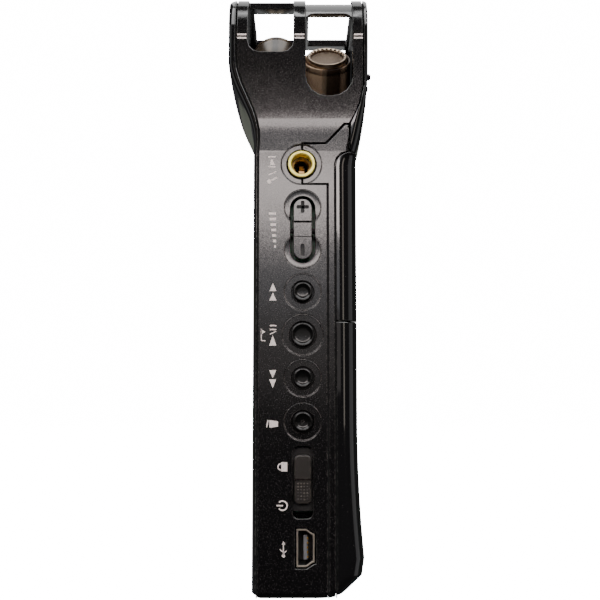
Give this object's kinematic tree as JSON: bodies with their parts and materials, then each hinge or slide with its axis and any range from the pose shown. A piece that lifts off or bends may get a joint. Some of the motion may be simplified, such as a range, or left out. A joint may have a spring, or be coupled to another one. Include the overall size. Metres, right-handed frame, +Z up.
{
  "type": "portable field recorder",
  "caption": "Hand-held stereo audio recorder: slim two-shell case, caged head with two crossed microphones, side keys, display, sliding battery cover.",
  "frame": {"origin": "middle of the flat base, level with the side sockets' middle plane", "axes": "+Z up towards the microphones, -Y out of the front plate, +Y out of the battery cover, +X out of the side with the keys"},
  "size_m": [0.0433, 0.0338, 0.1375],
  "materials": {
    "front_shell": "satin black lacquer with fine metal flake on plastic",
    "rear_shell": "satin black lacquer with fine metal flake on plastic",
    "rear_panel": "piano-black gloss",
    "battery_cover": "piano-black gloss",
    "front_plate": "piano-black gloss",
    "head_rear_cover": "piano-black gloss",
    "low_cut_switch": "semi-gloss black",
    "auto_level_switch": "semi-gloss black",
    "format_switch": "semi-gloss black",
    "delete_button": "gloss black",
    "rewind_button": "gloss black",
    "play_button": "gloss black",
    "forward_button": "gloss black",
    "level_rocker": "gloss black",
    "volume_rocker": "gloss black",
    "power_slider": "gloss black",
    "record_button": "dark gloss with a red ring",
    "line_in_bush": "gold plated, polished",
    "phones_bush": "gold plated, polished",
    "line_in_jack": "moulded black plastic",
    "phones_jack": "moulded black plastic",
    "usb_tongue": "moulded black plastic",
    "usb_shell": "nickel-plated steel",
    "card_socket": "nickel-plated steel",
    "strap_pin": "nickel-plated steel",
    "tripod_bush": "nickel-plated steel",
    "card_door": "satin black",
    "memory_card": "black card",
    "mic_sleeve_front": "dark bronze-nickel plating",
    "mic_sleeve_rear": "dark bronze-nickel plating",
    "mic_capsule_front": "dark bronze-nickel plating",
    "mic_capsule_rear": "dark bronze-nickel plating",
    "mic_grille_front": "fine mesh, bronze",
    "mic_grille_rear": "fine mesh, bronze",
    "mic_cradle": "soft black rubber",
    "display_window": "smoked clear plastic",
    "display_module": "reflective LCD glass",
    "record_lamp": "red lens",
    "main_board": "green solder mask",
    "key_board": "green solder mask",
    "volume_board": "green solder mask",
    "delete_key_switch": "stamped steel",
    "rewind_key_switch": "stamped steel",
    "play_key_switch": "stamped steel",
    "forward_key_switch": "stamped steel",
    "level_key_switch": "stamped steel",
    "volume_key_switch": "stamped steel",
    "record_key_switch": "stamped steel",
    "power_switch": "stamped steel",
    "battery_cell": "foil-printed steel can",
    "negative_contact": "nickel-plated spring steel",
    "positive_contact": "nickel-plated spring steel",
    "battery_spring": "nickel-plated spring steel",
    "speaker": "paper cone in a plastic frame",
    "case_screw_1": "zinc-plated steel",
    "case_screw_2": "zinc-plated steel",
    "case_screw_3": "zinc-plated steel",
    "case_screw_4": "zinc-plated steel",
    "board_screw_1": "zinc-plated steel",
    "board_screw_2": "zinc-plated steel"
  },
  "bodies": {
    "recorder_case": {"front_shell": "front_shell", "rear_shell": "rear_shell", "rear_panel": "rear_panel", "front_plate": "front_plate", "head_rear_cover": "head_rear_cover", "line_in_bush": "line_in_bush", "phones_bush": "phones_bush", "line_in_jack": "line_in_jack", "phones_jack": "phones_jack", "usb_tongue": "usb_tongue", "usb_shell": "usb_shell", "card_socket": "card_socket", "strap_pin": "strap_pin", "tripod_bush": "tripod_bush", "memory_card": "memory_card", "mic_sleeve_front": "mic_sleeve_front", "mic_sleeve_rear": "mic_sleeve_rear", "mic_capsule_front": "mic_capsule_front", "mic_capsule_rear": "mic_capsule_rear", "mic_grille_front": "mic_grille_front", "mic_grille_rear": "mic_grille_rear", "mic_cradle": "mic_cradle", "display_window": "display_window", "display_module": "display_module", "record_lamp": "record_lamp", "main_board": "main_board", "key_board": "key_board", "volume_board": "volume_board", "delete_key_switch": "delete_key_switch", "rewind_key_switch": "rewind_key_switch", "play_key_switch": "play_key_switch", "forward_key_switch": "forward_key_switch", "level_key_switch": "level_key_switch", "volume_key_switch": "volume_key_switch", "record_key_switch": "record_key_switch", "power_switch": "power_switch", "battery_cell": "battery_cell", "negative_contact": "negative_contact", "positive_contact": "positive_contact", "battery_spring": "battery_spring", "speaker": "speaker", "case_screw_1": "case_screw_1", "case_screw_2": "case_screw_2", "case_screw_3": "case_screw_3", "case_screw_4": "case_screw_4", "board_screw_1": "board_screw_1", "board_screw_2": "board_screw_2"},
    "delete_button": {"delete_button": "delete_button"},
    "rewind_button": {"rewind_button": "rewind_button"},
    "play_button": {"play_button": "play_button"},
    "forward_button": {"forward_button": "forward_button"},
    "record_button": {"record_button": "record_button"},
    "level_rocker": {"level_rocker": "level_rocker"},
    "volume_rocker": {"volume_rocker": "volume_rocker"},
    "power_slider": {"power_slider": "power_slider"},
    "low_cut_switch": {"low_cut_switch": "low_cut_switch"},
    "auto_level_switch": {"auto_level_switch": "auto_level_switch"},
    "format_switch": {"format_switch": "format_switch"},
    "battery_cover": {"battery_cover": "battery_cover"},
    "card_door": {"card_door": "card_door"}
  },
  "joints": [
    {"name": "delete_press", "type": "slide", "parent": "recorder_case", "child": "delete_button", "axis": [-1, 0, 0], "range_m": [0, 0.0005], "stiffness_N_per_m": 600, "springref_m": -0.0005},
    {"name": "rewind_press", "type": "slide", "parent": "recorder_case", "child": "rewind_button", "axis": [-1, 0, 0], "range_m": [0, 0.0005], "stiffness_N_per_m": 600, "springref_m": -0.0005},
    {"name": "play_press", "type": "slide", "parent": "recorder_case", "child": "play_button", "axis": [-1, 0, 0], "range_m": [0, 0.0005], "stiffness_N_per_m": 600, "springref_m": -0.0005},
    {"name": "forward_press", "type": "slide", "parent": "recorder_case", "child": "forward_button", "axis": [-1, 0, 0], "range_m": [0, 0.0005], "stiffness_N_per_m": 600, "springref_m": -0.0005},
    {"name": "record_press", "type": "slide", "parent": "recorder_case", "child": "record_button", "axis": [0, 1, 0], "range_m": [0, 0.0004], "stiffness_N_per_m": 600, "springref_m": -0.0005},
    {"name": "level_rock", "type": "hinge", "parent": "recorder_case", "child": "level_rocker", "pos_m": [0.0185, 0.0008, 0.0811], "axis": [0, 1, 0], "range_deg": [-3, 3], "stiffness_Nm_per_rad": 0.02},
    {"name": "volume_rock", "type": "hinge", "parent": "recorder_case", "child": "volume_rocker", "pos_m": [-0.0185, 0.0008, 0.0811], "axis": [0, 1, 0], "range_deg": [-3, 3], "stiffness_Nm_per_rad": 0.02},
    {"name": "power_slide", "type": "slide", "parent": "recorder_case", "child": "power_slider", "axis": [0, 0, 1], "range_m": [-0.0028, 0.0016]},
    {"name": "low_cut_slide", "type": "slide", "parent": "recorder_case", "child": "low_cut_switch", "axis": [1, 0, 0], "range_m": [0, 0.0016]},
    {"name": "auto_level_slide", "type": "slide", "parent": "recorder_case", "child": "auto_level_switch", "axis": [1, 0, 0], "range_m": [0, 0.0016]},
    {"name": "format_slide", "type": "slide", "parent": "recorder_case", "child": "format_switch", "axis": [1, 0, 0], "range_m": [0, 0.0016]},
    {"name": "cover_slide", "type": "slide", "parent": "recorder_case", "child": "battery_cover", "axis": [0, 0, -1], "range_m": [0, 0.003]},
    {"name": "card_door_hinge", "type": "hinge", "parent": "recorder_case", "child": "card_door", "pos_m": [-0.0205, -0.0047, 0.0609], "axis": [0, -1, 0], "range_deg": [0, 95]}
  ]
}
